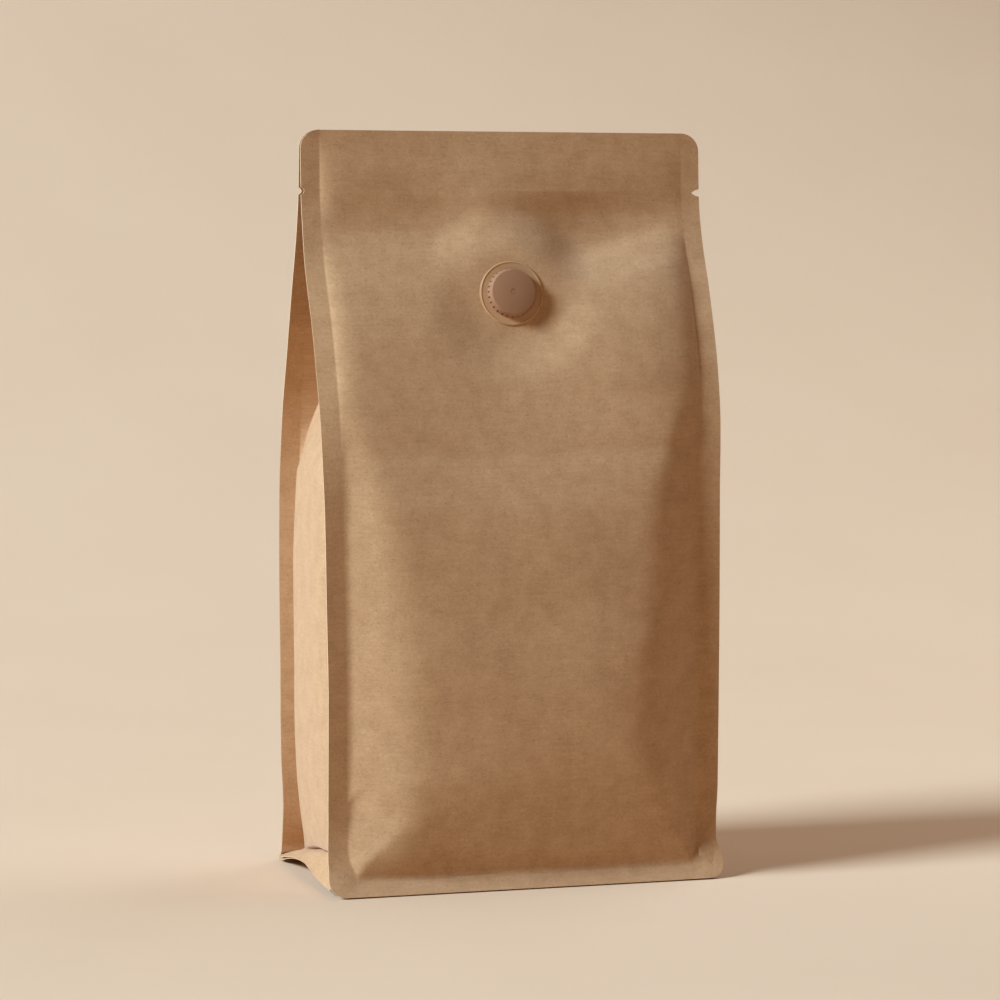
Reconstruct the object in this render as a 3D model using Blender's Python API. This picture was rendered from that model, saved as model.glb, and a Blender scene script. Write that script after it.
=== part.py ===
"""A filled, heat-sealed kraft coffee pouch with a flat bottom, folded side gussets and a one-way valve.

Frame: metres, +Z up, the printed-side panel faces -Y. The origin is the middle of the footprint on the table.
The pouch is one closed solid: its two face panels keep a flat sealed margin all round, which shows as a fin
along each upright edge, a band across the top and a flared skirt round the bottom. The valve is two pieces.
"""

import math

import bmesh
import bpy
from mathutils import Matrix, Vector

# Driving sizes of the pouch, all in metres.
HEIGHT = 0.241  # standing height of the filled pouch
PANEL_WIDTH = 0.135  # flat width of a face panel, with its sealed margins
SEAL = 0.0062  # width of the sealed margin along an edge
FIN = 0.0006  # thickness of a margin: two webs of laminate
CORNER_RADIUS = 0.0060  # rounding of a panel's four corners
TOP_SEAL_BOTTOM = 0.2250  # height where the band across the top begins
GUSSET_HALF = 0.0308  # flat width of a gusset from its margin to its middle fold
NOTCH_HEIGHT = 0.2216  # tear notch, cut through all the webs
NOTCH_DEPTH = 0.0024
NOTCH_HALF = 0.0012

# The skirt: where the panels fold over at the bottom, and how far the margin flares from there.
FOLD_HEIGHT = 0.0048
FOLD_HALF_DEPTH = 0.0333
SKIRT_REACH = 0.0040  # how far a face's skirt flares out from its fold
SIDE_FOLD = 0.0598  # distance of a side's fold from the middle
SIDE_SKIRT_REACH = 0.0052
SIDE_CORNER_CUT = 0.0016  # the side's skirt is rounded off towards its corners
SKIRT_PLY_SETBACK = 0.0004  # the side's web ends a little behind the face's web at a corner
LEFT_LIFT = 0.0054  # the left side's skirt is curled up off the table in its middle
RIGHT_LIFT = 0.0026
LIFT_MIDDLE = -0.24  # the curl is highest a little towards the front
LIP_LIFT = 0.75  # how much of the curl is left at the skirt's lip

# The underside: three rings from the flat on the table up to the fold.
BASE_INSET = 0.0105  # from the fold in to where the base lies on the table
BASE_CORNER_RADII = (0.0060, 0.0040, 0.0022)
BASE_MIDDLE_RISE = 0.35  # height of the middle ring as a share of the fold's height
SIDE_RISE_START = 0.0450  # the underside follows the sides' curl from here out
CORNER_POINT_ANGLES = (22.5, 45.0, 67.5)  # where an underside ring has its points on a corner, in degrees

# Profiles, as (height, value) pairs joined by a smooth curve.
EDGE_HALF_DEPTH = (
    (FOLD_HEIGHT, FOLD_HALF_DEPTH), (0.012, 0.0310), (0.020, 0.0298), (0.060, 0.0294), (0.090, 0.0288),
    (0.120, 0.0277), (0.135, 0.0263), (0.150, 0.0241), (0.165, 0.0198), (0.180, 0.0148), (0.200, 0.0068),
    (0.210, 0.0039), (0.222, 0.0018), (HEIGHT, 0.0011),
)
EDGE_HALF_WIDTH = (
    (FOLD_HEIGHT, 0.0650), (0.030, 0.0655), (0.090, 0.0660), (0.150, 0.0668), (0.200, 0.0675),
    (HEIGHT, PANEL_WIDTH / 2),
)
FACE_BULGE = (
    (FOLD_HEIGHT, 0.0), (0.0055, 0.0014), (0.008, 0.0038), (0.010, 0.0048), (0.013, 0.0058), (0.022, 0.0074),
    (0.035, 0.0086), (0.060, 0.0095), (0.100, 0.0090), (0.125, 0.0072), (0.145, 0.0046), (0.160, 0.0025),
    (0.185, 0.0019), (0.203, 0.0016), (0.213, 0.0),
)
FLANK_SLOPE = (
    (0.005, 0.70), (0.015, 0.60), (0.026, 0.50), (0.045, 0.46), (0.105, 0.42), (0.130, 0.36), (0.158, 0.34),
    (0.200, 0.42),
)
FLANK_SHARPNESS = 4.0  # how crisply a flank turns into the middle of the face
GUSSET_DEPTH = (
    (FOLD_HEIGHT, 0.0), (0.009, -0.0022), (0.020, -0.0040), (0.060, -0.0052), (0.100, -0.0050), (0.120, -0.0034),
    (0.132, 0.0), (0.140, 0.0035), (0.150, 0.0085), (0.160, 0.0150), (0.172, 0.0220), (0.180, 0.0256),
    (0.190, 0.0283), (0.200, 0.0296), (0.212, GUSSET_HALF - 0.0004), (TOP_SEAL_BOTTOM, GUSSET_HALF),
)
GUSSET_ROUNDNESS = (
    (0.0, 3.2), (0.132, 3.2), (0.150, 2.6), (0.165, 2.2), (0.180, 1.6), (0.205, 1.15), (HEIGHT, 1.1),
)

# The gathered neck: how far it is turned, and the soft folds it sends down the faces.
NECK_TURN = ((0.125, 0.0), (0.150, 0.0010), (0.170, 0.0020), (0.190, 0.0016), (0.205, 0.0006), (0.214, 0.0))
NECK_SWELL = ((0.150, 0.0), (0.170, 0.0006), (0.184, 0.0015), (0.200, 0.0015), (0.213, 0.0))
TURN_HALF_WIDTH = 0.060
SWELL_HALF_WIDTH = 0.032
VALLEY_PLACE = (
    (0.125, -0.004), (0.150, -0.006), (0.170, -0.007), (0.180, 0.0), (0.190, 0.014), (0.200, 0.021),
    (0.216, 0.028),
)
VALLEY_DEPTH = (
    (0.122, 0.0), (0.140, 0.0011), (0.150, 0.0019), (0.170, 0.0028), (0.205, 0.0028), (0.214, 0.0010),
    (0.222, 0.0),
)
VALLEY_WIDTHS = (0.014, 0.026)  # towards the left and towards the right
RIDGE_PLACE = -0.004
RIDGE_HEIGHT = ((0.188, 0.0), (0.200, 0.0004), (0.208, 0.0008), (0.216, 0.0012), (0.226, 0.0006), (0.236, 0.0))
RIDGE_WIDTHS = (0.014, 0.022)
BACK_FOLD_PLACE = ((0.125, 0.014), (0.160, 0.008), (0.190, -0.006), (0.216, -0.020))
BACK_FOLD_DEPTH = ((0.124, 0.0), (0.155, 0.0009), (0.180, 0.0018), (0.205, 0.0017), (0.220, 0.0))
BACK_FOLD_WIDTHS = (0.022, 0.012)
WAVE_MARGIN = 0.012  # the folds die out over this distance before a seam

# The valve, as measured along its own axis from the panel outwards.
VALVE_HEIGHT = 0.1895  # height of its middle
VALVE_ACROSS = -0.0012  # and how far it is from the middle of the panel
VALVE_STAND = 0.0012  # how far its stiff disc pushes the panel out
VALVE_LEAN = 0.20  # how much it faces upwards, as a slope
VALVE_TURN = 0.05  # how much it faces to the left
VALVE_FLAT_RADIUS = 0.0115  # the panel is held flat under the valve
VALVE_BLEND = 0.0140
GAP = 0.0003  # kept between two solids that touch
FLANGE_RADIUS = 0.0105
FLANGE_THICKNESS = 0.0004
FLANGE_POINTS = 48
BEAD_HEIGHT = 0.0002
BEAD_TOP_INSET = 0.0003
BEAD_WIDTH = 0.0007
CAP_RIBS = 20
POINTS_PER_RIB = 4  # two on the rib and two in the vent beside it
RIB_OUTER_RADIUS = 0.0080
RIB_ROOT_RADIUS = 0.0068
RIB_HEIGHT = 0.0012
COLLAR_OVERHANG = 0.0002
COLLAR_STEP = 0.0001
COLLAR_HEIGHT = 0.0005
CAP_RIM_RADIUS = 0.0079
CAP_TOP_RADIUS = 0.0072
CAP_HEIGHT = 0.0029
CAP_EDGE_ROUND = 0.0004
CAP_EDGE_BEVEL = 0.3  # share of the rounding where its middle ring lies
GATE_RADIUS = 0.0008
GATE_FLOOR_RADIUS = 0.0005
GATE_DEPTH = 0.0002

# Where the solid has its rings and its points. Rings crowd together where the shape turns.
SKIRT_SHARES = (1.0, 0.87, 0.65, 0.35, 0.0)  # across the skirt, from its lip up to the fold
WALL_HEIGHTS = (
    0.0068, 0.0090, 0.0120, 0.0160, 0.0210, 0.0270, 0.0350, 0.0450, 0.0580, 0.0720, 0.0860, 0.1000, 0.1130,
    0.1240, 0.1340, 0.1430, 0.1510, 0.1580, 0.1650, 0.1720, 0.1790, 0.1860, 0.1930, 0.2000, 0.2060, 0.2110,
    0.2160, 0.2195, NOTCH_HEIGHT - NOTCH_HALF, NOTCH_HEIGHT, NOTCH_HEIGHT + NOTCH_HALF, 0.2244,
)
TOP_HEIGHTS = (TOP_SEAL_BOTTOM, 0.2300)
TOP_CORNER_ANGLES = (0.0, 18.0, 36.0, 54.0, 72.0, 90.0)
FACE_POINTS = 22  # spaces across a face between its two creases
END_CROWDING = 1.35  # how much the points across a face crowd towards its creases
EDGE_CLEARANCE = 0.0004  # a crease stays at least this far inside a cut edge
TINY = 1e-6
SMOOTH_PAPER = 24.0  # edges sharper than this many degrees stay crisp
SMOOTH_PLASTIC = 30.0
GUSSET_POINTS = 10  # spaces across a gusset
BLEND_BACK_HEIGHT = 0.035  # below this height the rings follow the lifted folds of the sides


def clear_scene():
    for thing in list(bpy.data.objects):
        bpy.data.objects.remove(thing)


def clamp(value, low=0.0, high=1.0):
    return max(low, min(high, value))


def ease(value):
    """0 to 1 with a level start and end."""
    t = clamp(value)
    return t * t * (3.0 - 2.0 * t)


def profile(knots, at):
    """The smooth curve through knots of (height, value), which never overshoots between two of them."""
    if at <= knots[0][0]:
        return knots[0][1]
    if at >= knots[-1][0]:
        return knots[-1][1]
    slopes = [(b[1] - a[1]) / (b[0] - a[0]) for a, b in zip(knots, knots[1:])]
    tangents = [slopes[0]]
    for before, after in zip(slopes, slopes[1:]):
        same_way = before * after > 0.0
        tangents.append(2.0 * before * after / (before + after) if same_way else 0.0)
    tangents.append(slopes[-1])
    k = next(i for i in range(len(slopes)) if at <= knots[i + 1][0])
    span = knots[k + 1][0] - knots[k][0]
    t = (at - knots[k][0]) / span
    return (
        knots[k][1] * (2 * t**3 - 3 * t**2 + 1)
        + tangents[k] * span * (t**3 - 2 * t**2 + t)
        + knots[k + 1][1] * (3 * t**2 - 2 * t**3)
        + tangents[k + 1] * span * (t**3 - t**2)
    )


def bump(x, middle, widths):
    """A soft fold of height 1 with its own width towards the left and towards the right."""
    width = widths[0] if x < middle else widths[1]
    return math.exp(-(((x - middle) / width) ** 2))


def edge_half_width(height):
    """Distance of an upright edge from the middle, with the rounded top corner and the tear notch."""
    width = profile(EDGE_HALF_WIDTH, height)
    above_arc = height - (HEIGHT - CORNER_RADIUS)
    if above_arc > 0.0:
        width -= CORNER_RADIUS - math.sqrt(max(0.0, CORNER_RADIUS**2 - above_arc**2))
    if abs(height - NOTCH_HEIGHT) < TINY:
        width -= NOTCH_DEPTH
    return width


def crease_half_width(height):
    return profile(EDGE_HALF_WIDTH, height) - SEAL


def face_waves(x, height, front):
    """Soft folds that the gathered top sends down a face. The front's run round its valve."""
    if not front:
        return -profile(BACK_FOLD_DEPTH, height) * bump(x, profile(BACK_FOLD_PLACE, height), BACK_FOLD_WIDTHS)
    valley = profile(VALLEY_DEPTH, height) * bump(x, profile(VALLEY_PLACE, height), VALLEY_WIDTHS)
    return profile(RIDGE_HEIGHT, height) * bump(x, RIDGE_PLACE, RIDGE_WIDTHS) - valley


def neck_turn(x, height):
    """How far the turned neck brings the front forward, which is most at its right edge."""
    return profile(NECK_TURN, height) * ease((x + TURN_HALF_WIDTH) / (2.0 * TURN_HALF_WIDTH))


def loose_face(x, height, front):
    """How far a face stands from the middle plane, before the valve holds it flat."""
    inside = crease_half_width(height) - abs(x)
    out = profile(EDGE_HALF_DEPTH, height)
    if front:
        out += neck_turn(x, height)
    if inside <= 0.0:
        return out
    towards_right = x if front else -x
    swell = profile(NECK_SWELL, height) * ease((towards_right + SWELL_HALF_WIDTH) / (2.0 * SWELL_HALF_WIDTH))
    middle = profile(FACE_BULGE, height) + swell
    if middle > TINY:
        flank = profile(FLANK_SLOPE, height) * inside
        sharp = FLANK_SHARPNESS
        out += (flank**-sharp + middle**-sharp) ** (-1.0 / sharp)
    return out + face_waves(x, height, front) * ease(inside / WAVE_MARGIN)


def valve_frame():
    """The middle of the valve on the panel and the panel's outward direction there."""
    stand = loose_face(VALVE_ACROSS, VALVE_HEIGHT, True) + VALVE_STAND
    outward = Vector((-VALVE_TURN, -1.0, VALVE_LEAN)).normalized()
    return Vector((VALVE_ACROSS, -stand, VALVE_HEIGHT)), outward


def face_depth(x, height, front):
    """How far a face stands from the middle plane. The front is flat where the valve is welded on."""
    depth = loose_face(x, height, front)
    if not front:
        return depth
    seat, _ = valve_frame()
    across, up = x - seat.x, height - seat.z
    radius = math.hypot(across, up * math.hypot(1.0, VALVE_LEAN))
    flat = -seat.y + VALVE_TURN * across - VALVE_LEAN * up
    keep = ease((radius - VALVE_FLAT_RADIUS) / VALVE_BLEND)
    return flat + (depth - flat) * keep


def side_lift(across, left):
    """How far a side's fold is raised, for across from -1 at its front corner to 1 at its back corner."""
    lift = LEFT_LIFT if left else RIGHT_LIFT
    reach = 1.0 + abs(LIFT_MIDDLE)
    return lift * ease(1.0 - abs(across - LIFT_MIDDLE) / reach)


def spaced(count):
    """Positions from -1 to 1, both included, which crowd a little towards the ends."""
    steps = [2.0 * i / count - 1.0 for i in range(count + 1)]
    return [math.copysign(1.0 - (1.0 - abs(s)) ** END_CROWDING, s) for s in steps]


def wall_ring(height):
    """The outline of the pouch at one height, anticlockwise from above, from the front left edge."""
    width = edge_half_width(height)
    crease = crease_half_width(height)
    edge = profile(EDGE_HALF_DEPTH, height)
    sealed = height >= TOP_SEAL_BOTTOM
    raised = 1.0 - ease((height - FOLD_HEIGHT) / (BLEND_BACK_HEIGHT - FOLD_HEIGHT))
    reach = min(crease, width - EDGE_CLEARANCE)
    fold = 0.0 if sealed else profile(GUSSET_DEPTH, height)
    start = width if sealed else crease
    power = profile(GUSSET_ROUNDNESS, height)
    ring = []
    for way, front in ((1.0, True), (-1.0, False)):
        # The face, from the edge on its own left to the edge on its own right.
        turned_at = [neck_turn(x, height) if front else 0.0 for x in (-width, width)]
        ring.append((-way * width, -way * (edge + turned_at[0]), height))
        for s in spaced(FACE_POINTS):
            ring.append((way * s * reach, -way * face_depth(way * s * reach, height, front), height))
        ring.append((way * width, -way * (edge + turned_at[1]), height))
        # The side that follows it: the back of the fin, the gusset, the back of the next fin.
        left = way < 0.0
        forward = neck_turn(-width if left else width, height)
        front_inner = edge + forward - FIN
        back_inner = edge - FIN
        first, last = (back_inner, front_inner) if left else (front_inner, back_inner)
        ring.append((way * width, -way * first, height))
        for i in range(GUSSET_POINTS + 1):
            across = 2.0 * i / GUSSET_POINTS - 1.0
            dent = fold * (1.0 - abs(across) ** power)
            lifted = height + raised * side_lift(across * way, left)
            depth = (first + last) / 2.0 * across + (last - first) / 2.0
            ring.append((way * (start - dent), way * depth, lifted))
        ring.append((way * width, way * last, height))
    return ring


def skirt_ring(share, drop=0.0):
    """The outline across the flared skirt: share is 0 at the fold and 1 at its lip."""
    width = edge_half_width(FOLD_HEIGHT)
    edge = FOLD_HALF_DEPTH + SKIRT_REACH * share
    lip = FIN - drop
    height = (FOLD_HEIGHT - lip) * (1.0 - share) + lip
    tip = width - CORNER_RADIUS * (1.0 - math.sqrt(max(0.0, 1.0 - share**2)))
    reach = min(crease_half_width(FOLD_HEIGHT), tip - EDGE_CLEARANCE)
    setback = SKIRT_PLY_SETBACK * share
    side_out = SIDE_FOLD + SIDE_SKIRT_REACH * share
    side_half = FOLD_HALF_DEPTH - FIN + SKIRT_REACH / 4.0 * share
    ring = []
    for way in (1.0, -1.0):
        ring.append((-way * tip, -way * edge, height))
        for s in spaced(FACE_POINTS):
            ring.append((way * s * reach, -way * edge, height))
        ring.append((way * tip, -way * edge, height))
        ring.append((way * (tip + setback), -way * (edge - FIN - setback), height))
        for i in range(GUSSET_POINTS + 1):
            across = 2.0 * i / GUSSET_POINTS - 1.0
            out = side_out - SIDE_CORNER_CUT * share * across**6
            lifted = height + side_lift(across * way, way < 0.0) * (1.0 - (1.0 - LIP_LIFT) * share)
            ring.append((way * out, way * across * side_half, lifted))
        ring.append((way * (tip + setback), way * (edge - FIN - setback), height))
    return ring


def rounded_ring(half_x, half_y, radius, height_at):
    """A rounded rectangle with as many points as a wall ring, for the underside."""
    corner_x, corner_y = half_x - radius, half_y - radius

    def on_corner(way_x, way_y, angle):
        turn = math.radians(angle)
        return (way_x * (corner_x + radius * math.cos(turn)), way_y * (corner_y + radius * math.sin(turn)))

    near_side, middle, near_face = CORNER_POINT_ANGLES
    ring = []
    for way in (1.0, -1.0):
        ring.append(on_corner(-way, -way, middle))
        ring += [(way * s * corner_x, -way * half_y) for s in spaced(FACE_POINTS)]
        ring.append(on_corner(way, -way, near_face))
        ring.append(on_corner(way, -way, middle))
        for i in range(GUSSET_POINTS + 1):
            ring.append((way * half_x, way * (2.0 * i / GUSSET_POINTS - 1.0) * corner_y))
        ring.append(on_corner(way, way, near_side))
    return [(x, y, height_at(x, y)) for x, y in ring]


def base_fold_height(x, y):
    """The underside of the fold, which is raised with the sides."""
    share = clamp((abs(x) - SIDE_RISE_START) / (SIDE_FOLD - SIDE_RISE_START))
    return FOLD_HEIGHT - FIN + share * side_lift(clamp(y / FOLD_HALF_DEPTH, -1.0, 1.0), x < 0.0)


def bridge(mesh, lower, upper):
    """Faces between two rings of the same number of points, pointing outwards for anticlockwise rings."""
    count = len(lower)
    for i in range(count):
        j = (i + 1) % count
        mesh.faces.new((lower[i], lower[j], upper[j], upper[i]))


def cap_across(mesh, ring, upwards):
    """Closes a ring with a strip between its front row and its back row, and a fan at each side."""
    side = GUSSET_POINTS + 3
    face = FACE_POINTS + 3
    front = ring[:face]
    right = ring[face:face + side]
    back = ring[face + side:face + side + face]
    left = ring[face + side + face:]
    faces = [(front[i], front[i + 1], back[-2 - i], back[-1 - i]) for i in range(face - 1)]
    faces.append((front[-1], *right, back[0]))
    faces.append((back[-1], *left, front[0]))
    for corners in faces:
        mesh.faces.new(corners if upwards else corners[::-1])


def make_material(name, colour, roughness, metallic=0.0):
    material = bpy.data.materials.new(name)
    material.use_nodes = True
    shader = material.node_tree.nodes["Principled BSDF"]
    shader.inputs["Base Color"].default_value = (*colour, 1.0)
    shader.inputs["Roughness"].default_value = roughness
    shader.inputs["Metallic"].default_value = metallic
    return material


def add_object(name, mesh, material, smooth_angle):
    """Turns a bmesh into a named object whose round parts are shaded smooth."""
    data = bpy.data.meshes.new(name)
    mesh.to_mesh(data)
    mesh.free()
    data.materials.append(material)
    data.shade_smooth()
    data.set_sharp_from_angle(angle=math.radians(smooth_angle))
    thing = bpy.data.objects.new(name, data)
    bpy.context.scene.collection.objects.link(thing)
    return thing


def build_pouch(kraft):
    """The pouch: rings from the base, over the skirt and up the walls to the top edge."""
    flat_x, flat_y = SIDE_FOLD - BASE_INSET, FOLD_HALF_DEPTH - BASE_INSET
    inner_x, inner_y = SIDE_FOLD - FIN, FOLD_HALF_DEPTH - 1.5 * FIN
    middle_x, middle_y = (flat_x + inner_x) / 2.0, (flat_y + inner_y) / 2.0
    wide, medium, narrow = BASE_CORNER_RADII
    rings = [
        rounded_ring(flat_x, flat_y, wide, lambda x, y: 0.0),
        rounded_ring(middle_x, middle_y, medium, lambda x, y: BASE_MIDDLE_RISE * base_fold_height(x, y)),
        rounded_ring(inner_x, inner_y, narrow, base_fold_height),
        skirt_ring(1.0, drop=FIN),
    ]
    rings += [skirt_ring(share) for share in SKIRT_SHARES]
    rings += [wall_ring(height) for height in WALL_HEIGHTS + TOP_HEIGHTS]
    arc_start = HEIGHT - CORNER_RADIUS
    rings += [wall_ring(arc_start + CORNER_RADIUS * math.sin(math.radians(a))) for a in TOP_CORNER_ANGLES]

    mesh = bmesh.new()
    rows = [[mesh.verts.new(point) for point in ring] for ring in rings]
    for lower, upper in zip(rows, rows[1:]):
        bridge(mesh, lower, upper)
    cap_across(mesh, rows[0], upwards=False)
    cap_across(mesh, rows[-1], upwards=True)
    bmesh.ops.triangulate(mesh, faces=mesh.faces[:])
    return add_object("pouch", mesh, kraft, SMOOTH_PAPER)


def turned(mesh, outline, around):
    """Adds rings for (height, radius function) pairs and closes both ends. The radius depends on the angle."""
    rows = []
    for height, radius_at in outline:
        row = []
        for i in range(around):
            angle = 2.0 * math.pi * i / around
            radius = radius_at(i)
            row.append(mesh.verts.new((radius * math.cos(angle), radius * math.sin(angle), height)))
        rows.append(row)
    for lower, upper in zip(rows, rows[1:]):
        bridge(mesh, lower, upper)
    mesh.faces.new(rows[0][::-1])
    mesh.faces.new(rows[-1])


def place_on_panel(thing, offset):
    """Stands a piece made along +Z on the front panel, offset outwards from it."""
    seat, outward = valve_frame()
    turn = outward.to_track_quat("Z", "Y").to_matrix().to_4x4()
    thing.matrix_world = Matrix.Translation(seat + outward * offset) @ turn


def build_valve_flange(plastic):
    """The thin round film that is welded to the panel, with a low bead round its edge."""
    outline = [
        (0.0, lambda i: FLANGE_RADIUS),
        (FLANGE_THICKNESS, lambda i: FLANGE_RADIUS),
        (FLANGE_THICKNESS + BEAD_HEIGHT, lambda i: FLANGE_RADIUS - BEAD_TOP_INSET),
        (FLANGE_THICKNESS, lambda i: FLANGE_RADIUS - BEAD_WIDTH),
    ]
    mesh = bmesh.new()
    turned(mesh, outline, FLANGE_POINTS)
    flange = add_object("valve_flange", mesh, plastic, SMOOTH_PLASTIC)
    place_on_panel(flange, GAP)
    return flange


def build_valve_cap(plastic):
    """The raised cap: a ring of short ribs with vents between them, a sloping wall and a flat top."""
    bevel = CAP_EDGE_ROUND * CAP_EDGE_BEVEL

    def ribbed(i):
        return RIB_OUTER_RADIUS if i % POINTS_PER_RIB < POINTS_PER_RIB / 2 else RIB_ROOT_RADIUS

    outline = [
        (0.0, ribbed),
        (RIB_HEIGHT, ribbed),
        (RIB_HEIGHT + COLLAR_STEP, lambda i: CAP_RIM_RADIUS + COLLAR_OVERHANG),
        (RIB_HEIGHT + COLLAR_HEIGHT, lambda i: CAP_RIM_RADIUS),
        (CAP_HEIGHT - CAP_EDGE_ROUND, lambda i: CAP_TOP_RADIUS),
        (CAP_HEIGHT - bevel, lambda i: CAP_TOP_RADIUS - bevel),
        (CAP_HEIGHT, lambda i: CAP_TOP_RADIUS - CAP_EDGE_ROUND),
        (CAP_HEIGHT, lambda i: GATE_RADIUS),
        (CAP_HEIGHT - GATE_DEPTH, lambda i: GATE_FLOOR_RADIUS),
    ]
    mesh = bmesh.new()
    turned(mesh, outline, CAP_RIBS * POINTS_PER_RIB)
    cap = add_object("valve_cap", mesh, plastic, SMOOTH_PLASTIC)
    place_on_panel(cap, GAP + FLANGE_THICKNESS + GAP)
    return cap


def main():
    clear_scene()
    kraft = make_material("kraft_laminate", (0.40, 0.235, 0.120), 0.62)
    film = make_material("valve_film", (0.33, 0.19, 0.10), 0.35)
    plastic = make_material("valve_plastic", (0.235, 0.135, 0.075), 0.45)
    build_pouch(kraft)
    build_valve_flange(film)
    build_valve_cap(plastic)


main()
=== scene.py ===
"""A filled kraft coffee pouch with a flat bottom, folded side gussets and a one-way valve.

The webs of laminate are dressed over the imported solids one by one, in the order that a pouch is made up:
the two face panels, the gussets between them, the bottom web, then the valve. Sizes are in millimetres until
they are placed.
"""

import math

import bpy
import numpy as np
from mathutils import Matrix, Vector


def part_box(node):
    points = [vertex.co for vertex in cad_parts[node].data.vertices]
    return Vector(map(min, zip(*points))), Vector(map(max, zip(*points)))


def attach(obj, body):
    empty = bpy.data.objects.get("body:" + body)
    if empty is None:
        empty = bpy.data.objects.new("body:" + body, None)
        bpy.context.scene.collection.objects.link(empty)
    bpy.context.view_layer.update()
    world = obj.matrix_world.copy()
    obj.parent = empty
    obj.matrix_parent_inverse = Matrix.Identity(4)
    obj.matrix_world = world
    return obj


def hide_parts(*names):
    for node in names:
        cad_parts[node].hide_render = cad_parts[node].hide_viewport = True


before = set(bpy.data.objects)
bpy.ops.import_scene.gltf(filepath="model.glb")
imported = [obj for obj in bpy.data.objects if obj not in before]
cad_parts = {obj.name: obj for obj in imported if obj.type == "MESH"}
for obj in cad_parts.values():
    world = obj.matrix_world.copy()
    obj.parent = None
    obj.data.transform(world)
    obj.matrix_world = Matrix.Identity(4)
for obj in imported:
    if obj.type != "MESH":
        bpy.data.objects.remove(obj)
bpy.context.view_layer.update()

# ----------------------------------------------------------------------------------------------------------
# Front panel: one web of kraft laminate, heat-sealed to the gussets, the bottom web and, across the top, the
# back panel. The beans push it out between its seals, and its bottom seal flares forward as a skirt. It has
# rounded corners, a tear notch at each side and a flat spot where the valve is welded on.
# ----------------------------------------------------------------------------------------------------------

MM = 0.001
WEB = 0.25  # thickness of the laminate
PLY_GAP = 0.02  # air left between two webs that are sealed together
SEAL = 6.2  # width of the sealed margins
LEAST_MARGIN = 0.4  # width that is left to a margin inside the notches and the skirt's corners
HEIGHT = 241.0
CORNER = 6.0  # rounding of a panel's corners
FOLD_HEIGHT = 4.8  # where the panel turns out into its skirt
FOLD_DEPTH = 33.3  # distance of that fold from the middle plane
SKIRT_REACH = 4.0
SKIRT_CORNER = 5.3  # rounding of the skirt's corners
SKIRT_PAPER = 5.8  # length of the skirt on the flat web
LIP = 0.55  # height of the skirt's lip over the table

NOTCH_HEIGHT = 221.6
NOTCH_HALF = 1.2
NOTCH_DEPTH_LEFT = 1.1
NOTCH_DEPTH_RIGHT = 2.6

CREASE_TURN = 2.2  # how far a seam's inner crease turns in at the foot
CREASE_TURN_HEIGHT = 7.0
LIFT_BAND = 8.0  # width of the stretch beside a corner where a bottom fold runs up or down
LIFT_FADE = 25.0  # height over which the panel above takes up that lift
FRONT_LEFT_LIFT = 3.6
FRONT_LEFT_START = 55.2
BACK_LEFT_LIFT = -1.9
BACK_LEFT_START = 52.0
FRONT_RIGHT_LIFT = 7.6
BACK_RIGHT_LIFT = 2.4
RIGHT_START = 57.2
SPREAD_LEFT = 0.5  # how much wider the skirt spreads at its left corners
SPREAD_RIGHT = 1.3
SPREAD_START = 50.0
SPREAD_BAND = 12.0
SPREAD_SHARE = 0.7  # share of the skirt by which it has spread

NECK_HALF = 60.0  # half width over which the neck is turned
FLANK_HALF = 52.0  # half width over which the left flank's form gives way to the right's
FOOT_LEAST = 0.53  # share of the foot's fullness right beside a seam
FOOT_REACH = 15.0  # distance in from the seam over which the rest follows
RIPPLE = 0.10
RIPPLE_TOP = 225.0  # height where the ripples have died out, under the top seal
RIPPLE_FADE = 20.0
WAVE_MARGIN = 10.0  # distance in from a seam over which waves and ripples set in

PINCH_X = -59.5  # where the pinched crease leaves the seam
PINCH_HEIGHT = 29.6
PINCH_MARGIN = 2.5
PINCH_DROP = 0.50
DENT = 1.1
DENT_X = -45.0
DENT_HEIGHT = 23.0
DENT_RADIUS = 6.0
DIAGONAL = 1.414

VALVE_LEAN = 0.20  # how much the valve faces upwards, as a slope
VALVE_TURN = 0.05  # and to the left
SEAT_DEPTH = 1.3  # how far the panel's flat spot lies behind the middle of the valve's base
SEAT_RADIUS = 10.8
SEAT_BLEND = 19.0  # distance over which the flat spot runs out into the panel
SEAT_SWELL = 0.3
SWELL_RADIUS = 24.0

PAPER_UNIT = 100.0  # length of web that is one unit of its UV map
WEB_SMOOTH_ANGLE = 42.0
KRAFT_DARK = (0.490, 0.290, 0.153)
KRAFT_PALE = (0.650, 0.412, 0.240)
FLECK_DARK = (0.25, 0.135, 0.062)
FLECK_PALE = (0.80, 0.58, 0.38)
FILM_DARK = (0.66, 0.47, 0.30)
FILM_PALE = (0.84, 0.68, 0.50)


def profile(knots, at):
    """The smooth curve through (position, value) knots, which never overshoots between two of them."""
    xs, ys = (np.array(column, float) for column in zip(*knots))
    at = np.clip(np.asarray(at, float), xs[0], xs[-1])
    spans = np.diff(xs)
    slopes = np.diff(ys) / spans
    before, after = slopes[:-1], slopes[1:]
    same_way = before * after > 0.0
    total = np.where(same_way, before + after, 1.0)
    inner = np.where(same_way, 2.0 * before * after / total, 0.0)
    tangents = np.concatenate([slopes[:1], inner, slopes[-1:]])
    k = np.clip(np.searchsorted(xs, at, side="right") - 1, 0, len(spans) - 1)
    t = (at - xs[k]) / spans[k]
    return (
        ys[k] * (2 * t**3 - 3 * t**2 + 1)
        + tangents[k] * spans[k] * (t**3 - 2 * t**2 + t)
        + ys[k + 1] * (3 * t**2 - 2 * t**3)
        + tangents[k + 1] * spans[k] * (t**3 - t**2)
    )


def ease(value):
    """0 to 1 with a level start and end."""
    t = np.clip(value, 0.0, 1.0)
    return t * t * (3.0 - 2.0 * t)


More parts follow.
